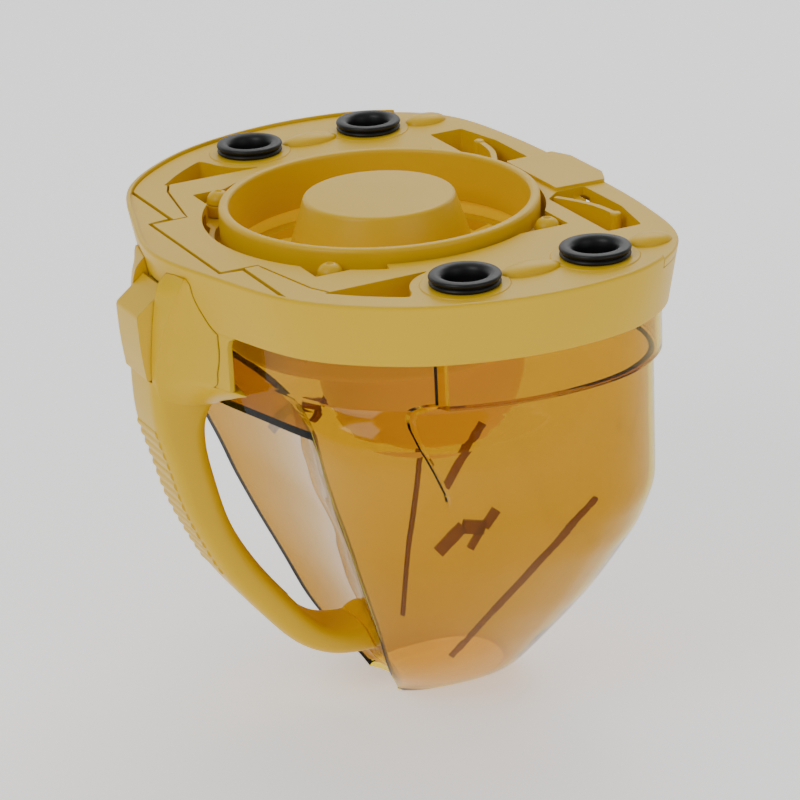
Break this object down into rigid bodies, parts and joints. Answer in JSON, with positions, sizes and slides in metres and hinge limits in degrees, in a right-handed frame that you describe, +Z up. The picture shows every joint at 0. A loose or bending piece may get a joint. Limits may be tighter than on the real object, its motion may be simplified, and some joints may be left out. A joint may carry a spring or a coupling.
{
  "type": "vacuum water filter tank",
  "caption": "Removable water filter tank: amber see-through tank, yellow collar with a D-handle and push button, hinged lid with air outlet and rubber bushes.",
  "frame": {"origin": "on the surface the tank stands on, straight below the axis of the round air outlet", "axes": "+Z up, handle at -Y, lid hinge at +Y, X across the tank"},
  "size_m": [0.2714, 0.2213, 0.2292],
  "materials": {
    "yellow": "satin yellow moulded plastic",
    "amber_clear": "see-through amber moulded plastic",
    "rubber": "black moulded rubber",
    "steel": "bright steel"
  },
  "bodies": {
    "root": {"tank": "amber_clear", "collar": "yellow", "handle": "yellow", "grip_strip": "yellow", "handle_liner": "yellow", "button_pin": "steel", "button_spring": "steel", "bolt_spring": "steel", "hinge_pin": "steel", "foot_screw": "steel"},
    "lid": {"lid_deck": "yellow", "outlet_tube": "yellow", "bell": "yellow", "swirl_grille": "yellow", "separator_housing": "yellow", "inner_bowl": "yellow", "lid_gasket": "rubber", "bush_1": "rubber", "bush_2": "rubber", "bush_3": "rubber", "bush_4": "rubber", "tube_screw_1": "yellow", "tube_screw_2": "yellow", "tube_screw_3": "yellow", "tube_screw_4": "yellow"},
    "button": {"release_button": "yellow"},
    "bolt": {"latch_bolt": "steel"},
    "tongue_left": {"spring_tongue_left": "yellow"},
    "tongue_right": {"spring_tongue_right": "yellow"}
  },
  "joints": [
    {"name": "lid_hinge", "type": "hinge", "parent": "root", "child": "lid", "pos_m": [0, 0.0972, 0.2142], "axis": [-1, 0, 0], "range_deg": [0, 95]},
    {"name": "button_rocker", "type": "hinge", "parent": "root", "child": "button", "pos_m": [0, -0.1096, 0.193], "axis": [1, 0, 0], "range_deg": [0, 9], "stiffness_Nm_per_rad": 0.001, "springref_deg": -11.46},
    {"name": "latch_slide", "type": "slide", "parent": "root", "child": "bolt", "axis": [0, -1, 0], "range_m": [0, 0.0025], "stiffness_N_per_m": 200, "springref_m": -0.001},
    {"name": "tongue_left_flex", "type": "hinge", "parent": "lid", "child": "tongue_left", "pos_m": [-0.0305, 0.0715, 0.2124], "axis": [0, 0, 1], "range_deg": [-4, 4], "stiffness_Nm_per_rad": 0.3},
    {"name": "tongue_right_flex", "type": "hinge", "parent": "lid", "child": "tongue_right", "pos_m": [0.0305, 0.0715, 0.2124], "axis": [0, 0, 1], "range_deg": [-4, 4], "stiffness_Nm_per_rad": 0.3}
  ],
  "couplings": [
    {"joint": "button_rocker", "follows": "latch_slide", "rad_per_m": 62.5}
  ]
}
